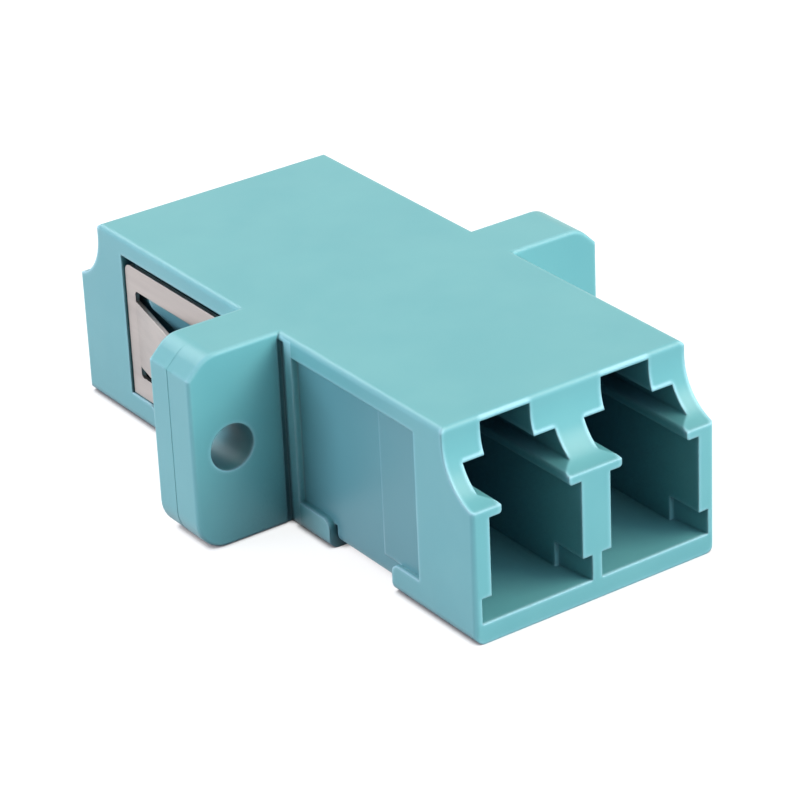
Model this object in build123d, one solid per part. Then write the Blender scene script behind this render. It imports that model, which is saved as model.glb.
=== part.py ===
from build123d import *
from math import cos, radians, sin, sqrt, tan
import os

# Duplex fibre adapter with two connector ports at each end. Millimetres.
# X runs across the ports, Y along the fibres (the front ports face -Y), Z is up.
# The origin is under the middle of the body, on the plane of its underside.

# Body
body_width = 12.7
body_height = 9.3
body_length = 30.7
body_bottom_radius = 0.5
body_top_radius = 0.25
body_end_radius = 0.2

# Port mouths: the top stands back from the bottom, joined by a hollow arc
mouth_setback = 1.95
mouth_arc_radius = 2.6
mouth_arc_start = 0.6
mouth_top_radius = 0.22

# Flange
flange_width = 22.0
flange_thickness = 3.1
flange_bottom_radius = 1.5
flange_facet_run = 0.93
flange_facet_drop = 0.93
flange_facet_radius = 1.3
flange_hole_inset = 2.0
flange_hole_diameter = 2.2
flange_edge_radius = 0.16
flange_seam_width = 0.12
flange_seam_depth = 0.015
flange_root_radius = 0.3
panel_relief_width = 0.41
panel_relief_depth = 0.2
panel_relief_reach = 0.1
panel_relief_overlap = 0.06
panel_relief_roof = 0.33

# Ports
port_pitch = 6.25
port_width = 4.74
port_floor = 0.95
rail_underside = 5.8
rail_reach = 0.63
rail_tip_height = 0.45
rail_root_height = 0.72
rail_tip_radius = 0.15
shoulder_underside = 7.6
shoulder_depth = 2.2
latch_width = 2.55
roof_thickness = 0.26
undercut_height = 1.2
undercut_depth = 1.95
undercut_end_depth = 0.22
undercut_web = 0.5
undercut_wall = 0.35

# Clip seat, cut into both sides and the underside of each half
seat_depth = 0.3
seat_start = 2.5
seat_length = 8.9
seat_bottom = 1.4
seat_top = 8.42
seat_corner_radius = 0.5
strap_start = 4.75
strap_length = 4.65
lip_radius = 0.45
slot_width = 0.2
slot_depth = 0.55
slot_height = 1.2
seat_step_length = 2.8
seat_step_height = 0.08
pocket_depth = 0.3
pocket_margin = 0.4
pocket_bottom = 2.2
pad_margin = 1.7
pad_end_bottom = 6.38
pad_root_bottom = 4.9
pad_top = 7.5
pad_corner_radius = 0.4

# Panel clip, one strip of sheet
clip_thickness = 0.22
clip_gap = 0.12
clip_top_gap = 0.36
clip_bottom_gap = 0.05
clip_bend_radius = 0.35
clip_corner_radius = 0.4
window_border = 0.75
window_end_border = 0.67
window_bottom = 2.5
window_top = 6.9
window_corner_radius = 0.2
tab_gap = 0.55
tab_end_gap = 0.45
tab_angle = 12.0

# Sleeve holders
holder_thickness = 0.9
holder_ledge = 0.25
holder_clearance = 0.03
barrel_diameter = 2.9
barrel_reach = 4.2
barrel_lip = 0.65
barrel_mouth_diameter = 1.4
barrel_mouth_flare = 0.35
sleeve_clearance = 0.05

# Alignment sleeves
sleeve_bore = 1.25
sleeve_wall = 0.175
sleeve_length = 6.8
sleeve_slot = 0.3
sleeve_chamfer = 0.05

# Places worked out from the sizes above
half_width = body_width / 2
half_length = body_length / 2
half_flange = flange_thickness / 2
port_middle = port_pitch / 2
port_height = (port_floor + rail_underside) / 2
roof_underside = body_height - roof_thickness
mouth_top = half_length - mouth_setback
seat_end = seat_start + seat_length
strap_end = strap_start + strap_length
seat_wall = half_width - seat_depth
channel_side = port_middle + port_width / 2
beyond = 1.0

os.makedirs("parts", exist_ok=True)


def block(x_limits, y_limits, z_limits):
    """A plain block between two limits on each axis."""
    limits = (x_limits, y_limits, z_limits)
    size = [high - low for low, high in limits]
    middle = [(high + low) / 2 for low, high in limits]
    return Pos(*middle) * Box(*size)


def outline(points, radii=0):
    """A closed face through corner points, each corner rounded by its own radius."""
    return make_face(FilletPolyline(*points, radius=radii, close=True))


def along_y(face, y_start, y_end):
    """Extrudes a face drawn in X and Z from one place on Y to another."""
    return extrude(Plane.XZ.offset(-y_end) * face, amount=y_end - y_start)


def along_x(face, x_start, x_end):
    """Extrudes a face drawn in Y and Z from one place on X to another."""
    return extrude(Plane.YZ.offset(x_start) * face, amount=x_end - x_start)


def along_z(face, z_start, z_end):
    """Extrudes a face drawn in X and Y from one height to another."""
    return extrude(Plane.XY.offset(z_start) * face, amount=z_end - z_start)


def both_sides(shape):
    """A shape and its mirror image on the other side of the body."""
    return shape + mirror(shape, about=Plane.YZ)


def half_body():
    """One half of the body: its cross-section, its side profile and its plan together."""
    section = outline(
        [
            (-half_width, 0),
            (half_width, 0),
            (half_width, body_height),
            (-half_width, body_height),
        ],
        [body_bottom_radius, body_bottom_radius, body_top_radius, body_top_radius],
    )
    arc_top = body_height - mouth_arc_start
    arc_rise = sqrt(mouth_arc_radius**2 - (mouth_arc_radius - mouth_setback) ** 2)
    crease = (-half_length, arc_top - arc_rise)
    profile = make_face(
        [
            Polyline((-mouth_top, arc_top), (-mouth_top, body_height), (0, body_height)),
            Polyline((0, body_height), (0, 0), (-half_length, 0), crease),
            RadiusArc(crease, (-mouth_top, arc_top), -mouth_arc_radius),
        ]
    )
    plan = outline(
        [
            (-half_width, 0),
            (-half_width, -half_length),
            (half_width, -half_length),
            (half_width, 0),
        ],
        [0, body_end_radius, body_end_radius, 0],
    )
    top_corner = profile.vertices().sort_by_distance((-mouth_top, body_height))[0]
    profile = fillet(top_corner, mouth_top_radius)
    body = along_y(section, -half_length, 0)
    body &= along_x(profile, -half_width, half_width)
    return body & along_z(plan, 0, body_height)


def flange_outline(inset):
    """The flange from the front, its ears pulled in by an inset: round below, faceted above."""
    side = flange_width / 2 - inset
    facet_top = side - flange_facet_run
    facet_bottom = body_height - flange_facet_drop
    corners = [
        (-side, 0, flange_bottom_radius),
        (side, 0, flange_bottom_radius),
        (side, facet_bottom, 0),
        (facet_top, body_height, flange_facet_radius),
        (-facet_top, body_height, flange_facet_radius),
        (-side, facet_bottom, 0),
    ]
    return outline([(x, z) for x, z, _ in corners], [r for _, _, r in corners])


def half_flange_plate():
    """Half the thickness of the flange, softened round its outer face."""
    plate = along_y(flange_outline(0), -half_flange, 0)
    outer_face = plate.faces().sort_by(Axis.Y)[0]
    return fillet(outer_face.edges(), flange_edge_radius)


def flange_seam():
    """The fine groove round the ears where the two shells meet."""
    rim = flange_outline(0) - flange_outline(flange_seam_depth)
    return along_y(rim, -flange_seam_width, 0)


def flange_holes():
    """The two fixing holes through half the flange."""
    hole = along_y(Circle(flange_hole_diameter / 2), -half_flange, 0)
    place = Pos(flange_width / 2 - flange_hole_inset, 0, body_height / 2)
    return both_sides(place * hole)


def clip_seat():
    """The shallow seat that wraps the sides and underside, open between the lips."""
    low, high = -seat_end, -seat_start
    strap_low, strap_high = -strap_end, -strap_start
    window = outline(
        [
            (low, seat_top),
            (low, seat_bottom),
            (strap_low, seat_bottom),
            (strap_low, -beyond),
            (strap_high, -beyond),
            (strap_high, seat_bottom),
            (high, seat_bottom),
            (high, seat_top),
        ],
        [0, 0, lip_radius, 0, 0, lip_radius, 0, 0],
    )
    core = outline(
        [
            (-seat_wall, seat_depth),
            (seat_wall, seat_depth),
            (seat_wall, body_height),
            (-seat_wall, body_height),
        ],
        [seat_corner_radius, seat_corner_radius, 0, 0],
    )
    seat = along_x(window, -half_width - beyond, half_width + beyond)
    seat -= along_y(core, low - beyond, high + beyond)
    slot_wall = half_width - slot_depth
    slot = block(
        (slot_wall, half_width + beyond),
        (strap_high - slot_width, strap_high),
        (-beyond, slot_height),
    )
    return seat + both_sides(slot)


def seat_step():
    """The part of the seat floor next to the mouth, a little higher than the rest."""
    return both_sides(
        block(
            (seat_wall, seat_wall + seat_step_height),
            (-seat_end, -seat_end + seat_step_length),
            (seat_bottom, seat_top),
        )
    )


def clip_pocket():
    """The deeper part of the seat, round a raised pad behind the top of the clip's window."""
    floor = seat_wall - pocket_depth
    low, high = -seat_end, -seat_start - pocket_margin
    pad = outline(
        [
            (high, pad_root_bottom),
            (low + pad_margin, pad_end_bottom),
            (low + pad_margin, pad_top),
            (high, pad_top),
        ],
        [0, pad_corner_radius, 0, 0],
    )
    pocket = block((floor, half_width), (low, high), (pocket_bottom, seat_top))
    return both_sides(pocket - along_x(pad, floor, half_width))


def port_section():
    """The section of one port's channel, with a guide rail on each side."""
    left = port_middle - port_width / 2
    right = port_middle + port_width / 2
    tip_top = rail_underside + rail_tip_height
    root_top = rail_underside + rail_root_height
    corners = [
        (left, port_floor, 0),
        (right, port_floor, 0),
        (right, rail_underside, 0),
        (right - rail_reach, rail_underside, rail_tip_radius),
        (right - rail_reach, tip_top, rail_tip_radius),
        (right, root_top, 0),
        (right, shoulder_underside, 0),
        (left, shoulder_underside, 0),
        (left, root_top, 0),
        (left + rail_reach, tip_top, rail_tip_radius),
        (left + rail_reach, rail_underside, rail_tip_radius),
        (left, rail_underside, 0),
    ]
    return outline([(x, z) for x, z, _ in corners], [r for _, _, r in corners])


def port():
    """Everything that is hollow in the port on the +X side."""
    left = port_middle - port_width / 2
    outside = -half_length - beyond
    channel = along_y(port_section(), outside, 0)
    latch_way = block(
        (port_middle - latch_width / 2, port_middle + latch_width / 2),
        (outside, 0),
        (shoulder_underside - beyond, roof_underside),
    )
    root_top = rail_underside + rail_root_height
    catch_room = block(
        (left, channel_side),
        (-mouth_top + shoulder_depth, 0),
        (root_top, roof_underside),
    )
    return channel + latch_way + catch_room + undercut()


def undercut():
    """The recesses low on both walls of the port, wide at the mouth and narrower inside."""
    left = port_middle - port_width / 2 - undercut_end_depth
    right = channel_side + undercut_end_depth
    web_side = undercut_web / 2
    wall_side = half_width - undercut_wall
    outside = -half_length - beyond
    inside = -half_length + undercut_depth
    plan = outline(
        [
            (web_side, outside),
            (wall_side, outside),
            (wall_side, -half_length),
            (right, inside),
            (left, inside),
            (web_side, -half_length),
        ]
    )
    return along_z(plan, port_floor, port_floor + undercut_height)


def holder_pocket():
    """The pocket at the welded end of a half, where the holder's plate is trapped."""
    side = channel_side + holder_ledge
    return block(
        (-side, side),
        (-holder_thickness, 0),
        (port_floor - holder_ledge, roof_underside),
    )


def panel_relief():
    """The upright grooves that let a panel sit flat against the flange."""
    return both_sides(
        block(
            (half_width - panel_relief_depth, half_width + panel_relief_overlap),
            (-half_flange - panel_relief_width, -half_flange + panel_relief_reach),
            (-beyond, body_height - panel_relief_roof),
        )
    )


def flange_root_fillet():
    """The small upright fillets between the flange and the body."""
    radius = flange_root_radius
    corner = (half_width, -half_flange)
    face = Pos(*corner) * Rectangle(radius, radius, align=(Align.MIN, Align.MAX))
    face -= Pos(corner[0] + radius, corner[1] - radius) * Circle(radius)
    low = flange_bottom_radius
    return both_sides(along_z(face, low, body_height - body_top_radius))


def housing():
    """One moulded shell, front half, before what tells it from the other is added."""
    shell = half_body() + half_flange_plate()
    shell -= flange_holes()
    shell -= clip_seat()
    shell -= both_sides(port())
    return shell - holder_pocket()


def housing_front():
    return housing() + seat_step() - panel_relief()


def housing_rear():
    shell = housing() + flange_root_fillet()
    return mirror(shell - clip_pocket() - flange_seam(), about=Plane.XZ)


def sleeve_holder():
    """The front holder: a plate with two barrels that keep the sleeves in line."""
    side = channel_side + holder_ledge - holder_clearance
    plate = block(
        (-side, side),
        (-holder_thickness, 0),
        (port_floor - holder_ledge + holder_clearance, roof_underside - holder_clearance),
    )
    barrel = along_y(Circle(barrel_diameter / 2), -barrel_reach, 0)
    bore_radius = sleeve_bore / 2 + sleeve_wall + sleeve_clearance
    bore_end = -barrel_reach + barrel_lip
    bore = along_y(Circle(bore_radius), bore_end, 0)
    mouth_radius = barrel_mouth_diameter / 2
    mouth = Plane.XZ.offset(barrel_reach) * Cone(
        mouth_radius,
        mouth_radius + barrel_mouth_flare,
        barrel_lip,
        align=(Align.CENTER, Align.CENTER, Align.MAX),
    )
    place = Pos(port_middle, 0, port_height)
    holder = plate + both_sides(place * barrel)
    return holder - both_sides(place * (bore + mouth))


def alignment_sleeve(x):
    """A split sleeve about the joint of two ferrules, its slot upwards."""
    outer = sleeve_bore / 2 + sleeve_wall
    ring = Circle(outer) - Circle(sleeve_bore / 2)
    tube = along_y(ring, -sleeve_length / 2, sleeve_length / 2)
    ends = tube.edges().filter_by(GeomType.CIRCLE).group_by(SortBy.RADIUS)[-1]
    tube = chamfer(ends, sleeve_chamfer)
    slot = block(
        (-sleeve_slot / 2, sleeve_slot / 2),
        (-sleeve_length, sleeve_length),
        (0, outer + beyond),
    )
    return Pos(x, 0, port_height) * (tube - slot)


def clip_strip(bend_radius):
    """The section of the sheet, bent round the underside: a U with even thickness."""
    outside = seat_wall + clip_thickness
    bottom = seat_depth - clip_thickness
    top = seat_top - clip_top_gap
    outer_radius = bend_radius + clip_thickness
    outer_face = outline(
        [(-outside, top), (-outside, bottom), (outside, bottom), (outside, top)],
        [0, outer_radius, outer_radius, 0],
    )
    inner_face = outline(
        [
            (-seat_wall, top),
            (-seat_wall, seat_depth),
            (seat_wall, seat_depth),
            (seat_wall, top),
        ],
        [0, bend_radius, bend_radius, 0],
    )
    return outer_face - inner_face


def clip_blank():
    """What the sheet covers, seen from the side: a wide plate on a narrower strap."""
    low = seat_start + clip_gap
    high = seat_end - clip_gap
    strap_low = strap_start + clip_gap
    strap_high = strap_end - clip_gap
    plate_bottom = seat_bottom + clip_bottom_gap
    top = seat_top - clip_top_gap
    return outline(
        [
            (low, top),
            (low, plate_bottom),
            (strap_low, plate_bottom),
            (strap_low, 0),
            (strap_high, 0),
            (strap_high, plate_bottom),
            (high, plate_bottom),
            (high, top),
        ],
        [clip_corner_radius, 0, lip_radius, 0, 0, lip_radius, 0, clip_corner_radius],
    )


def clip_tab():
    """The tab bent out of the left plate: hinged away from the flange, free beside it."""
    hinge = seat_end - clip_gap - window_border
    free_end = seat_start + clip_gap + window_end_border + tab_end_gap
    run = hinge - free_end
    drift = run * tan(radians(tab_angle))
    wall = -seat_wall - clip_thickness
    across = clip_thickness * sin(radians(tab_angle))
    inward = clip_thickness * cos(radians(tab_angle))
    side = outline(
        [
            (wall, hinge),
            (wall + clip_thickness, hinge),
            (wall - drift + inward, free_end + across),
            (wall - drift, free_end),
        ]
    )
    return along_z(side, window_bottom + tab_gap, window_top - tab_gap)


def panel_clip():
    """The spring clip: a bent strip with a window and a raised tab on each side."""
    strip = along_y(clip_strip(clip_bend_radius), seat_start, seat_end)
    strip &= along_x(clip_blank(), -half_width, half_width)
    hinge = seat_end - clip_gap - window_border
    free_end = seat_start + clip_gap + window_end_border
    window = outline(
        [
            (free_end, window_bottom),
            (hinge, window_bottom),
            (hinge, window_top),
            (free_end, window_top),
        ],
        [0, window_corner_radius, window_corner_radius, 0],
    )
    strip -= along_x(window, -half_width, half_width)
    return strip + both_sides(clip_tab())


pieces = {
    "housing_front": housing_front(),
    "housing_rear": housing_rear(),
    "sleeve_holder_front": sleeve_holder(),
    "sleeve_holder_rear": mirror(sleeve_holder(), about=Plane.XZ),
    "alignment_sleeve_left": alignment_sleeve(-port_middle),
    "alignment_sleeve_right": alignment_sleeve(port_middle),
    "panel_clip": panel_clip(),
}
for name, piece in pieces.items():
    export_step(piece, f"parts/{name}.step")
    print(name, round(piece.volume, 3), piece.bounding_box())
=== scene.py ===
from math import cos, radians, sin

import bpy
from mathutils import Matrix, Vector

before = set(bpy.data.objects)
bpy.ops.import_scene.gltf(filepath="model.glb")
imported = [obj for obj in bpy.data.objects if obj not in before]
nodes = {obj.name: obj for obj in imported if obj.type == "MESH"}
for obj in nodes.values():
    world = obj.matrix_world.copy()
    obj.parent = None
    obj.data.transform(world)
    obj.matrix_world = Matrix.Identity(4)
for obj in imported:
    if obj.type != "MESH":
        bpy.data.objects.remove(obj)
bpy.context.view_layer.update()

# Camera: the photograph's view, worked out from the body's edges
CAMERA_AZIMUTH = radians(-34.324)
CAMERA_ELEVATION = radians(26.873)
CAMERA_ROLL = radians(-2.642)
CAMERA_DISTANCE = 0.157956
CAMERA_AIM = Vector((0, 0, 0.0047))
CAMERA_SLIDE_RIGHT = 0.000789
CAMERA_SLIDE_UP = -0.001199
CAMERA_NEAR = 0.005
FOCAL_PIXELS = 3543.46
IMAGE_PIXELS = 800
SENSOR_WIDTH = 36.0

# Places on the adapter, in metres from its middle, as in the CAD
BODY_SIDE = 0.00635
GROOVE_FLOOR = 0.00615
SEAT_FLOOR = 0.0061
SEAT_START = 0.0025
FLANGE_FACE = 0.00155
FLOOR_BAND = 0.00007
SEAM_HALF_WIDTH = 0.0003
SIDE_FACING = 0.9

# Colours, as linear values
WHITE = (1, 1, 1, 1)
AQUA = (0.190, 0.535, 0.540, 1)
AQUA_DEEP = (0.172, 0.510, 0.522, 1)
# Painted highlight on convex edges, stronger where they face up
AQUA_EDGE_HIGHLIGHT = (0.54, 0.93, 1.0, 1)
# Painted shade on the floor of the clip seat
AQUA_SEAT_SHADE = (0.130, 0.372, 0.400, 1)
# Painted shade in hollows and deep recesses
HOLLOW_SHADE = (0.022, 0.070, 0.118, 1)
STEEL = (0.425, 0.388, 0.378, 1)
STEEL_BRIGHT = (0.510, 0.466, 0.450, 1)
ZIRCONIA = (0.86, 0.85, 0.82, 1)
ZIRCONIA_WARM = (0.86, 0.83725, 0.779, 1)
FLOOR_SEEN = (0.35, 0.35, 0.35, 1)
FLOOR_BOUNCE = (0.30, 0.33, 0.35, 1)
ROOM = (0.80, 0.93, 1.0, 1)
BLEND_RANGE = (0.35, 0.65)

# Aqua plastic: noise is counted per metre, lengths are in metres
CLOUDS = {"scale": 260, "detail": 3.0}
GLOSS_PATCHES = {"scale": 900, "detail": 2.0}
MOULD_GRAIN = {"scale": 5000, "detail": 3.0}
MOULD_RELIEF = {"strength": 0.10, "depth": 0.000012}
PLASTIC_ROUGHNESS = (0.30, 0.38)
HOLLOW_ROUGHNESS = 0.25
PLASTIC_IOR = 1.5
EDGE_RADIUS = 0.00015

# Painted shade in hollows: how far hollows are looked for, and how open they are where the
# painted shade is darkest and lightest
HOLLOW_REACH = 0.008
HOLLOW_OPENNESS = (0.055, 0.485)

# Painted highlight on convex edges: how thick the solid is under them, and how strong the
# painted highlight is by where they face
EDGE_REACH = 0.00025
EDGE_THICKNESS = (0.88, 0.62)
EDGE_UPWARD = (0.0, 0.35)
EDGE_HIGHLIGHT_STRENGTH = (0.30, 0.95)
# Painted light lifting the panel groove's shade, and a painted highlight on the wall strip
# beside it
GROOVE_PAINTED_LIGHT = 0.50
WALL_PAINTED_HIGHLIGHT = 0.42

# Spring steel
ROLLED_GRAIN = {"scale": 1500, "detail": 5.0, "stretch": (1, 0.06, 1)}
ROLLED_RELIEF = {"strength": 0.25, "depth": 0.000008}
STEEL_ROUGHNESS = (0.34, 0.48)
STEEL_EDGE_RADIUS = 0.00005

# Zirconia
GRINDING_RINGS = {"scale": 2500, "detail": 2.0, "stretch": (0.1, 1, 0.1)}
GRINDING_RELIEF = {"strength": 0.1, "depth": 0.000004}
ZIRCONIA_ROUGHNESS = 0.18
ZIRCONIA_IOR = 2.1
ZIRCONIA_EDGE_RADIUS = 0.00003

# Samples of the nodes that look round a point
NODE_SAMPLES = 6

# Floor, and how open it is where its painted contact shadow is darkest and lightest
FLOOR_SIZE = 3.0
FLOOR_GLOW = 0.88
CONTACT_REACH = 0.0004
CONTACT_OPENNESS = (0.25, 0.60)

# Light: each lamp by its direction round the object in degrees, its size in metres and its
# power. A lamp that isn't mirrored doesn't show in the gloss.
ROOM_STRENGTH = 0.08
LAMP_DISTANCE = 0.5
LAMPS = {
    "key": {
        "azimuth": 50, "elevation": 42, "size": 0.30,
        "power": 1.44, "colour": (0.97, 0.99, 0.91), "mirrored": True,
    },
    "front": {
        "azimuth": 14, "elevation": 14, "size": 0.35,
        "power": 2.13, "colour": (0.80, 0.86, 1.0), "mirrored": False,
    },
    "side": {
        "azimuth": -114, "elevation": 20, "size": 0.25,
        "power": 1.88, "colour": (0.92, 0.84, 1.0), "mirrored": False,
    },
    "rim": {
        "azimuth": -170, "elevation": 42, "size": 0.30,
        "power": 0.94, "colour": (0.90, 0.97, 1.0), "mirrored": True,
    },
}


def add_node(tree, kind, **values):
    """A shader node with its plain inputs and settings given by name."""
    node = tree.nodes.new(kind)
    for key, value in values.items():
        if key in node.inputs:
            node.inputs[key].default_value = value
        else:
            setattr(node, key, value)
    return node


def empty_tree(owner):
    """The node tree of a material or a world, with nothing in it."""
    owner.use_nodes = True
    owner.node_tree.nodes.clear()
    return owner.node_tree


def new_material(name):
    """A material with only its shader and output, and the parts to build on."""
    material = bpy.data.materials.new(name)
    tree = empty_tree(material)
    output = add_node(tree, "ShaderNodeOutputMaterial")
    shader = add_node(tree, "ShaderNodeBsdfPrincipled")
    tree.links.new(shader.outputs["BSDF"], output.inputs["Surface"])
    return material, tree, shader


def calculate(tree, operation, first, second=0.0):
    """A sum on one or two values, each an output of a node or a number."""
    node = add_node(tree, "ShaderNodeMath", operation=operation)
    for socket, value in zip(node.inputs, (first, second)):
        if isinstance(value, float):
            socket.default_value = value
        else:
            tree.links.new(value, socket)
    return node.outputs["Value"]


def product(tree, first, *others):
    """Several values multiplied."""
    for other in others:
        first = calculate(tree, "MULTIPLY", first, other)
    return first


def within(tree, value, low, high):
    """1 where a value lies between two limits, and 0 elsewhere."""
    above = calculate(tree, "GREATER_THAN", value, low)
    below = calculate(tree, "LESS_THAN", value, high)
    return product(tree, above, below)


def rescale(tree, value, source=(0.0, 1.0), target=(0.0, 1.0)):
    """Spreads one range of a value over another, and cuts off what is outside."""
    node = add_node(tree, "ShaderNodeMapRange")
    node.inputs["From Min"].default_value = source[0]
    node.inputs["From Max"].default_value = source[1]
    node.inputs["To Min"].default_value = target[0]
    node.inputs["To Max"].default_value = target[1]
    tree.links.new(value, node.inputs["Value"])
    return node.outputs["Result"]


def axis_share(tree, vector, axis):
    """One axis of a vector."""
    parts = add_node(tree, "ShaderNodeSeparateXYZ")
    tree.links.new(vector, parts.inputs["Vector"])
    return parts.outputs[axis]


def coordinate(tree, axis):
    """Where a point of the object is along one axis, in metres."""
    place = add_node(tree, "ShaderNodeTexCoord")
    return axis_share(tree, place.outputs["Object"], axis)


def off_middle(tree, axis):
    """How far a point is from the object's middle along one axis, in metres."""
    return calculate(tree, "ABSOLUTE", coordinate(tree, axis))


def faces_sideways(tree):
    """1 on the faces that look left or right, and 0 elsewhere."""
    place = add_node(tree, "ShaderNodeTexCoord")
    facing = calculate(tree, "ABSOLUTE", axis_share(tree, place.outputs["Normal"], "X"))
    return calculate(tree, "GREATER_THAN", facing, SIDE_FACING)


def noise(tree, scale, detail, stretch=(1, 1, 1)):
    """A noise pattern fixed to the object, its scale counted per metre."""
    place = add_node(tree, "ShaderNodeTexCoord")
    mapping = add_node(tree, "ShaderNodeMapping")
    mapping.inputs["Scale"].default_value = stretch
    pattern = add_node(tree, "ShaderNodeTexNoise", Scale=scale, Detail=detail)
    tree.links.new(place.outputs["Object"], mapping.inputs["Vector"])
    tree.links.new(mapping.outputs["Vector"], pattern.inputs["Vector"])
    return pattern.outputs["Fac"]


def ramp(tree, factor, low, high):
    """Turns a pattern into colours between two colours."""
    node = add_node(tree, "ShaderNodeValToRGB")
    for stop, place, colour in zip(node.color_ramp.elements, BLEND_RANGE, (low, high)):
        stop.position = place
        stop.color = colour
    tree.links.new(factor, node.inputs["Fac"])
    return node.outputs["Color"]


def blend(tree, factor, low, high):
    """Mixes two colours, the first at 0, each fixed or the output of a node."""
    node = add_node(tree, "ShaderNodeMix", data_type="RGBA")
    tree.links.new(factor, node.inputs["Factor"])
    for name, colour in (("A", low), ("B", high)):
        if isinstance(colour, tuple):
            node.inputs[name].default_value = colour
        else:
            tree.links.new(colour, node.inputs[name])
    return node.outputs["Result"]


def rounded_normal(tree, radius):
    """Softens sharp edges the way a mould's small radii do."""
    bevel = add_node(tree, "ShaderNodeBevel", Radius=radius, samples=NODE_SAMPLES)
    return bevel.outputs["Normal"]


def open_share(tree, reach, inside=False):
    """How open the space is at a point, or with inside, how thick the solid is under it."""
    cover = add_node(
        tree, "ShaderNodeAmbientOcclusion", Distance=reach, samples=NODE_SAMPLES
    )
    cover.inside = inside
    cover.only_local = inside
    return cover.outputs["AO"]


def add_relief(tree, shader, height, normal, strength, depth):
    """Puts a fine relief on top of a normal and gives it to the shader."""
    bump = add_node(tree, "ShaderNodeBump", Strength=strength, Distance=depth)
    tree.links.new(height, bump.inputs["Height"])
    tree.links.new(normal, bump.inputs["Normal"])
    tree.links.new(bump.outputs["Normal"], shader.inputs["Normal"])


def at_seam(tree):
    """1 next to the joint between the two shells, and 0 elsewhere."""
    return calculate(tree, "LESS_THAN", off_middle(tree, "Y"), SEAM_HALF_WIDTH)


def flat_at_seam(tree, normal):
    """Leaves the joint between the two shells unrounded, because they are welded flush."""
    shape = add_node(tree, "ShaderNodeNewGeometry")
    choose = add_node(tree, "ShaderNodeMix", data_type="VECTOR")
    tree.links.new(at_seam(tree), choose.inputs["Factor"])
    tree.links.new(normal, choose.inputs["A"])
    tree.links.new(shape.outputs["Normal"], choose.inputs["B"])
    return choose.outputs["Result"]


def painted_edge_highlight(tree):
    """Painted highlight on convex edges: strongest where they face up, and none at the seam.
    """
    near_edge = rescale(tree, open_share(tree, EDGE_REACH, inside=True), EDGE_THICKNESS)
    upward = axis_share(tree, rounded_normal(tree, EDGE_RADIUS), "Z")
    strength = rescale(tree, upward, EDGE_UPWARD, EDGE_HIGHLIGHT_STRENGTH)
    off_seam = calculate(tree, "SUBTRACT", 1.0, at_seam(tree))
    return product(tree, near_edge, strength, off_seam)


def flange_side_painted_light(tree):
    """Painted light on the panel groove in front of the flange, lifting its shade, and a
    painted highlight on the wall strip beside it.
    """
    sideways = off_middle(tree, "X")
    outside = calculate(tree, "GREATER_THAN", sideways, GROOVE_FLOOR - FLOOR_BAND)
    near = within(tree, coordinate(tree, "Y"), -SEAT_START, -FLANGE_FACE)
    painted_light_share = rescale(
        tree, sideways, (GROOVE_FLOOR, BODY_SIDE), (GROOVE_PAINTED_LIGHT, WALL_PAINTED_HIGHLIGHT)
    )
    return product(tree, near, faces_sideways(tree), outside, painted_light_share)


def painted_seat_shade(tree):
    """1 on the floor of the clip seat, where shade is painted darker, and 0 elsewhere."""
    low, high = SEAT_FLOOR - FLOOR_BAND, SEAT_FLOOR + FLOOR_BAND
    return product(tree, within(tree, off_middle(tree, "X"), low, high), faces_sideways(tree))


def aqua_colour(tree, openness):
    """Cloudy flow, painted shade on the clip seat floor, painted highlights on edges and
    beside the flange, and painted shade in hollows.
    """
    colour = ramp(tree, noise(tree, **CLOUDS), AQUA_DEEP, AQUA)
    # Painted shade on the clip seat floor
    colour = blend(tree, painted_seat_shade(tree), colour, AQUA_SEAT_SHADE)
    painted_light_share = calculate(tree, "MAXIMUM", painted_edge_highlight(tree), flange_side_painted_light(tree))
    # Painted highlight on edges, and painted light beside the flange
    colour = blend(tree, painted_light_share, colour, AQUA_EDGE_HIGHLIGHT)
    # Painted shade in hollows, darkest where the space is least open
    return blend(tree, openness, HOLLOW_SHADE, colour)


def moulded_plastic():
    """Aqua thermoplastic from a satin mould, with a fine eroded grain."""
    material, tree, shader = new_material("aqua_plastic")
    # How open the space is, which sets the painted shade in hollows and their dullness
    openness = rescale(tree, open_share(tree, HOLLOW_REACH), HOLLOW_OPENNESS)
    tree.links.new(aqua_colour(tree, openness), shader.inputs["Base Color"])
    gloss = rescale(tree, noise(tree, **GLOSS_PATCHES), target=PLASTIC_ROUGHNESS)
    dull = rescale(tree, openness, target=(HOLLOW_ROUGHNESS, 0.0))
    tree.links.new(calculate(tree, "ADD", gloss, dull), shader.inputs["Roughness"])
    shader.inputs["IOR"].default_value = PLASTIC_IOR
    normal = flat_at_seam(tree, rounded_normal(tree, EDGE_RADIUS))
    add_relief(tree, shader, noise(tree, **MOULD_GRAIN), normal, **MOULD_RELIEF)
    return material


def spring_steel():
    """Rolled spring sheet, with a fine grain along the strip."""
    material, tree, shader = new_material("spring_steel")
    grain = noise(tree, **ROLLED_GRAIN)
    tree.links.new(ramp(tree, grain, STEEL, STEEL_BRIGHT), shader.inputs["Base Color"])
    shader.inputs["Metallic"].default_value = 1.0
    gloss = rescale(tree, grain, target=STEEL_ROUGHNESS)
    tree.links.new(gloss, shader.inputs["Roughness"])
    normal = rounded_normal(tree, STEEL_EDGE_RADIUS)
    add_relief(tree, shader, grain, normal, **ROLLED_RELIEF)
    return material


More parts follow.
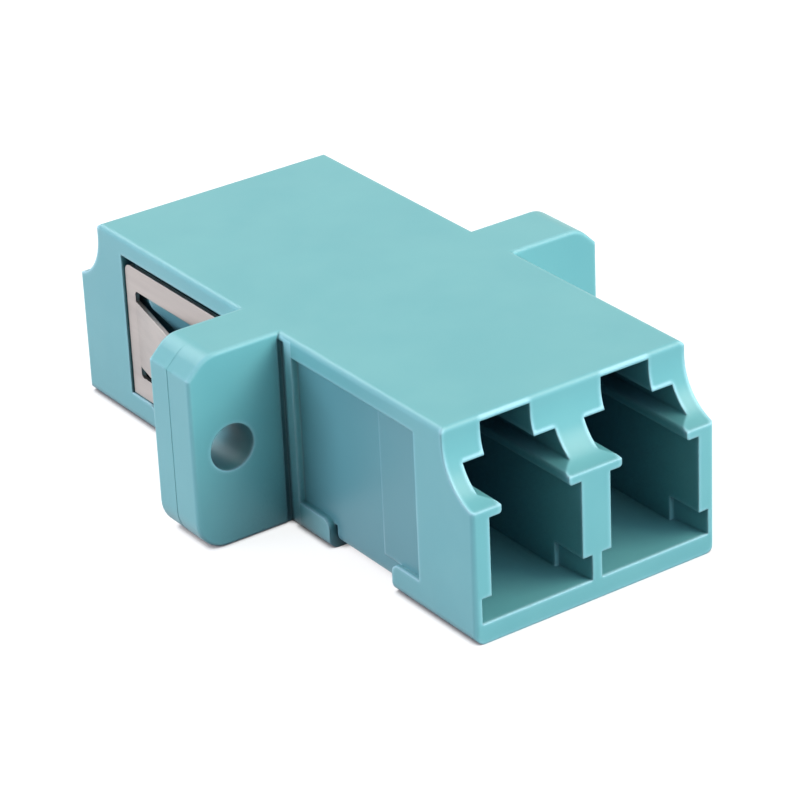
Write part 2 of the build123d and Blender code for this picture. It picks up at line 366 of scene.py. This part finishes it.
def zirconia():
    """Ground ceramic: nearly white, smooth, with faint grinding rings."""
    material, tree, shader = new_material("zirconia")
    rings = noise(tree, **GRINDING_RINGS)
    tree.links.new(ramp(tree, rings, ZIRCONIA_WARM, ZIRCONIA), shader.inputs["Base Color"])
    shader.inputs["Roughness"].default_value = ZIRCONIA_ROUGHNESS
    shader.inputs["IOR"].default_value = ZIRCONIA_IOR
    normal = rounded_normal(tree, ZIRCONIA_EDGE_RADIUS)
    add_relief(tree, shader, rings, normal, **GRINDING_RELIEF)
    return material


def dress(material, *names):
    """Gives CAD nodes a material in place of the plain one they came with."""
    for name in names:
        node = nodes[name]
        node.data.materials.clear()
        node.data.materials.append(material)
        for polygon in node.data.polygons:
            polygon.material_index = 0


def show_behind(tree, output, unseen, seen):
    """Ends a tree in one shader that gives light, and one that shows as a background.

    The second one is for the camera's rays, and for those by gloss or glass.
    """
    path = add_node(tree, "ShaderNodeLightPath").outputs
    gloss_or_glass = calculate(tree, "ADD", path["Is Glossy Ray"], path["Is Transmission Ray"])
    direct = calculate(tree, "ADD", path["Is Camera Ray"], gloss_or_glass)
    choose = add_node(tree, "ShaderNodeMixShader")
    for value, socket in zip((direct, unseen, seen), choose.inputs):
        tree.links.new(value, socket)
    tree.links.new(choose.outputs["Shader"], add_node(tree, output).inputs["Surface"])


def floor_material():
    """White floor that keeps the object's shadow, and a painted contact shadow where it
    touches.
    """
    material = bpy.data.materials.new("pale_floor")
    tree = empty_tree(material)
    # Painted contact shadow: the floor's glow fades where it is least open
    glow_with_contact_shadow = rescale(
        tree, open_share(tree, CONTACT_REACH), CONTACT_OPENNESS, (0.0, FLOOR_GLOW)
    )
    glow = add_node(tree, "ShaderNodeEmission", Color=WHITE)
    tree.links.new(glow_with_contact_shadow, glow.inputs["Strength"])
    shaded = add_node(tree, "ShaderNodeBsdfDiffuse", Color=FLOOR_SEEN)
    seen = add_node(tree, "ShaderNodeAddShader")
    tree.links.new(glow.outputs["Emission"], seen.inputs[0])
    tree.links.new(shaded.outputs["BSDF"], seen.inputs[1])
    bounce = add_node(tree, "ShaderNodeBsdfDiffuse", Color=FLOOR_BOUNCE)
    show_behind(
        tree, "ShaderNodeOutputMaterial", bounce.outputs["BSDF"], seen.outputs["Shader"]
    )
    return material


def make_floor():
    """A floor that is part of the stage, not of the object."""
    bpy.ops.mesh.primitive_plane_add(size=FLOOR_SIZE, location=(0, 0, 0))
    floor = bpy.context.object
    floor.name = "floor"
    floor.data.materials.append(floor_material())


def make_world():
    """A dim, even room, which shows as pure white behind the object."""
    world = bpy.data.worlds.new("studio")
    bpy.context.scene.world = world
    tree = empty_tree(world)
    room = add_node(tree, "ShaderNodeBackground", Color=ROOM, Strength=ROOM_STRENGTH)
    white = add_node(tree, "ShaderNodeBackground", Color=WHITE, Strength=1.0)
    show_behind(
        tree, "ShaderNodeOutputWorld", room.outputs["Background"], white.outputs["Background"]
    )


def outward(azimuth, elevation):
    """The direction from the object to a point round it, azimuth 0 being its front."""
    level = cos(elevation)
    return Vector((sin(azimuth) * level, -cos(azimuth) * level, sin(elevation)))


def softbox(name, azimuth, elevation, size, power, colour, mirrored):
    """A square lamp that looks at the object."""
    lamp = bpy.data.lights.new(name, "AREA")
    lamp.shape = "SQUARE"
    lamp.size = size
    lamp.energy = power
    lamp.color = colour
    out = outward(radians(azimuth), radians(elevation))
    holder = bpy.data.objects.new(name, lamp)
    holder.location = CAMERA_AIM + out * LAMP_DISTANCE
    holder.rotation_euler = out.to_track_quat("Z", "Y").to_euler()
    holder.visible_glossy = mirrored
    bpy.context.scene.collection.objects.link(holder)


def make_lights():
    for name, settings in LAMPS.items():
        softbox(name, **settings)


def make_camera():
    """The photograph's camera, a little rolled and slid off the object's middle."""
    back = outward(CAMERA_AZIMUTH, CAMERA_ELEVATION)
    level = Vector((cos(CAMERA_AZIMUTH), sin(CAMERA_AZIMUTH), 0))
    upright = back.cross(level)
    right = level * cos(CAMERA_ROLL) + upright * sin(CAMERA_ROLL)
    up = upright * cos(CAMERA_ROLL) - level * sin(CAMERA_ROLL)
    place = CAMERA_AIM + back * CAMERA_DISTANCE
    place += right * CAMERA_SLIDE_RIGHT + up * CAMERA_SLIDE_UP
    turn = Matrix((right, up, back)).transposed().to_4x4()
    lens = bpy.data.cameras.new("camera")
    lens.sensor_width = SENSOR_WIDTH
    lens.lens = SENSOR_WIDTH * FOCAL_PIXELS / IMAGE_PIXELS
    lens.clip_start = CAMERA_NEAR
    camera = bpy.data.objects.new("camera", lens)
    camera.matrix_world = Matrix.Translation(place) @ turn
    bpy.context.scene.collection.objects.link(camera)
    bpy.context.scene.camera = camera


plastic = moulded_plastic()
dress(plastic, "housing_front", "housing_rear", "sleeve_holder_front", "sleeve_holder_rear")
dress(spring_steel(), "panel_clip")
dress(zirconia(), "alignment_sleeve_left", "alignment_sleeve_right")
make_floor()
make_world()
make_lights()
make_camera()
bpy.context.scene.view_settings.view_transform = "Standard"
